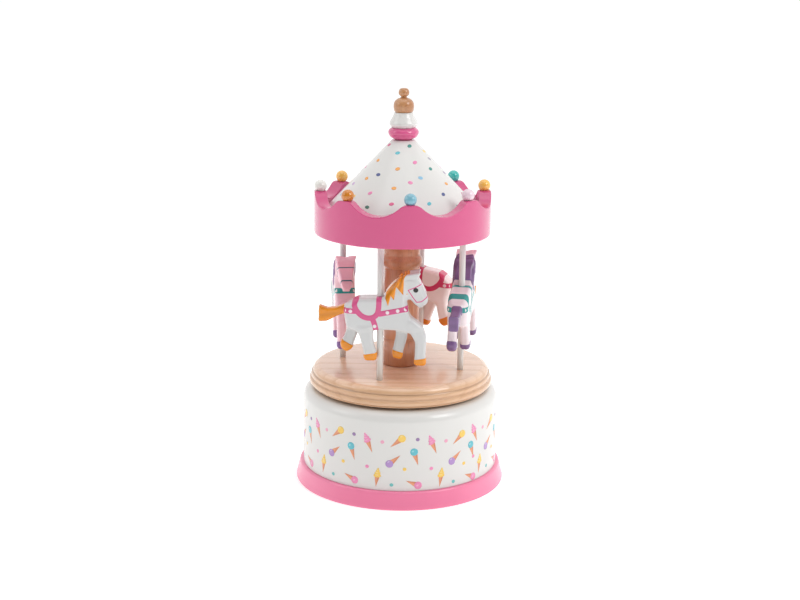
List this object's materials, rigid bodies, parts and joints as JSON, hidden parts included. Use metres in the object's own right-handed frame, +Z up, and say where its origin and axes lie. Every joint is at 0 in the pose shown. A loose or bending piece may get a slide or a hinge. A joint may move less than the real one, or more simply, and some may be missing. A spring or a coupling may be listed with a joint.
{
  "type": "carousel music box",
  "caption": "Wind-up carousel music box: a round drum with a turning pine table, poles with painted horses, and a scalloped canopy with a cone roof and finial.",
  "frame": {"origin": "centre of the underside of the base ring", "axes": "+Z up along the carousel's axis; -Y towards the front pole and its horse, +X towards the right pole"},
  "size_m": [0.11, 0.11, 0.2048],
  "materials": {
    "pink_paint": "glossy pink lacquer on wood",
    "white_paint": "satin white lacquer on wood",
    "clear_pine": "clear-lacquered pine",
    "brown_wood": "stained and lacquered hardwood",
    "pale_dowel": "plain beech dowel",
    "board": "plain fibreboard",
    "white_horse": "white painted wood with orange mane and pink harness",
    "pink_horse": "pale pink painted wood with purple mane and teal harness",
    "sky_bead": "painted wooden bead",
    "pale_bead": "painted wooden bead",
    "yellow_bead": "painted wooden bead",
    "teal_bead": "painted wooden bead",
    "white_bead": "painted wooden bead",
    "orange_bead": "painted wooden bead",
    "bright_steel": "bright steel",
    "spring_steel": "blued spring steel",
    "cast_plate": "cast and nickelled plate",
    "brass": "machined brass",
    "white_nylon": "moulded nylon"
  },
  "bodies": {
    "base": {"base_ring": "pink_paint", "drum_shell": "white_paint", "bottom_cover": "board", "cover_screws": "bright_steel", "thrust_washer": "white_nylon", "movement_bedplate": "cast_plate", "movement_screws": "bright_steel", "spring_housing": "bright_steel", "spring_housing_lid": "bright_steel", "housing_screws": "bright_steel", "mainspring": "spring_steel", "comb": "bright_steel", "comb_screws": "bright_steel", "governor_bracket": "brass", "governor_screw": "bright_steel"},
    "carousel": {"drive_arbor": "bright_steel", "drive_wheel": "brass", "threaded_insert": "brass", "turntable": "clear_pine", "column": "brown_wood", "pole_front": "white_paint", "pole_right": "white_paint", "pole_back": "white_paint", "pole_left": "white_paint", "horse_front": "white_horse", "horse_right": "pink_horse", "horse_back": "white_horse", "horse_left": "pink_horse", "canopy_board": "pink_paint", "crown_ring": "pink_paint", "roof_cone": "white_paint", "finial_collar": "pink_paint", "finial_bell": "white_paint", "finial_cap": "brown_wood", "finial_pin": "pale_dowel", "crown_bead_1": "sky_bead", "crown_bead_2": "pale_bead", "crown_bead_3": "yellow_bead", "crown_bead_4": "teal_bead", "crown_bead_5": "sky_bead", "crown_bead_6": "yellow_bead", "crown_bead_7": "white_bead", "crown_bead_8": "orange_bead"},
    "cylinder": {"cylinder_shaft": "bright_steel", "music_cylinder": "brass", "cylinder_pinion": "brass", "cylinder_end_wheel": "white_nylon"},
    "second_arbor": {"second_shaft": "bright_steel", "second_pinion": "brass", "worm_wheel": "white_nylon"},
    "governor": {"worm_shaft": "bright_steel", "governor_fly": "white_nylon"}
  },
  "joints": [
    {"name": "carousel_spin", "type": "hinge", "parent": "base", "child": "carousel", "pos_m": [0, 0, 0.0496], "axis": [0, 0, 1], "continuous": true},
    {"name": "cylinder_spin", "type": "hinge", "parent": "base", "child": "cylinder", "pos_m": [0.025, 0, 0.033], "axis": [1, 0, 0], "continuous": true},
    {"name": "second_arbor_spin", "type": "hinge", "parent": "base", "child": "second_arbor", "pos_m": [0.036, 0.00875, 0.033], "axis": [1, 0, 0], "continuous": true},
    {"name": "governor_spin", "type": "hinge", "parent": "base", "child": "governor", "pos_m": [0.0366, 0.0141, 0.033], "axis": [0, 0, 1], "continuous": true}
  ],
  "couplings": [
    {"joint": "cylinder_spin", "follows": "carousel_spin", "ratio": -3},
    {"joint": "second_arbor_spin", "follows": "carousel_spin", "ratio": 12},
    {"joint": "governor_spin", "follows": "carousel_spin", "ratio": -288}
  ]
}
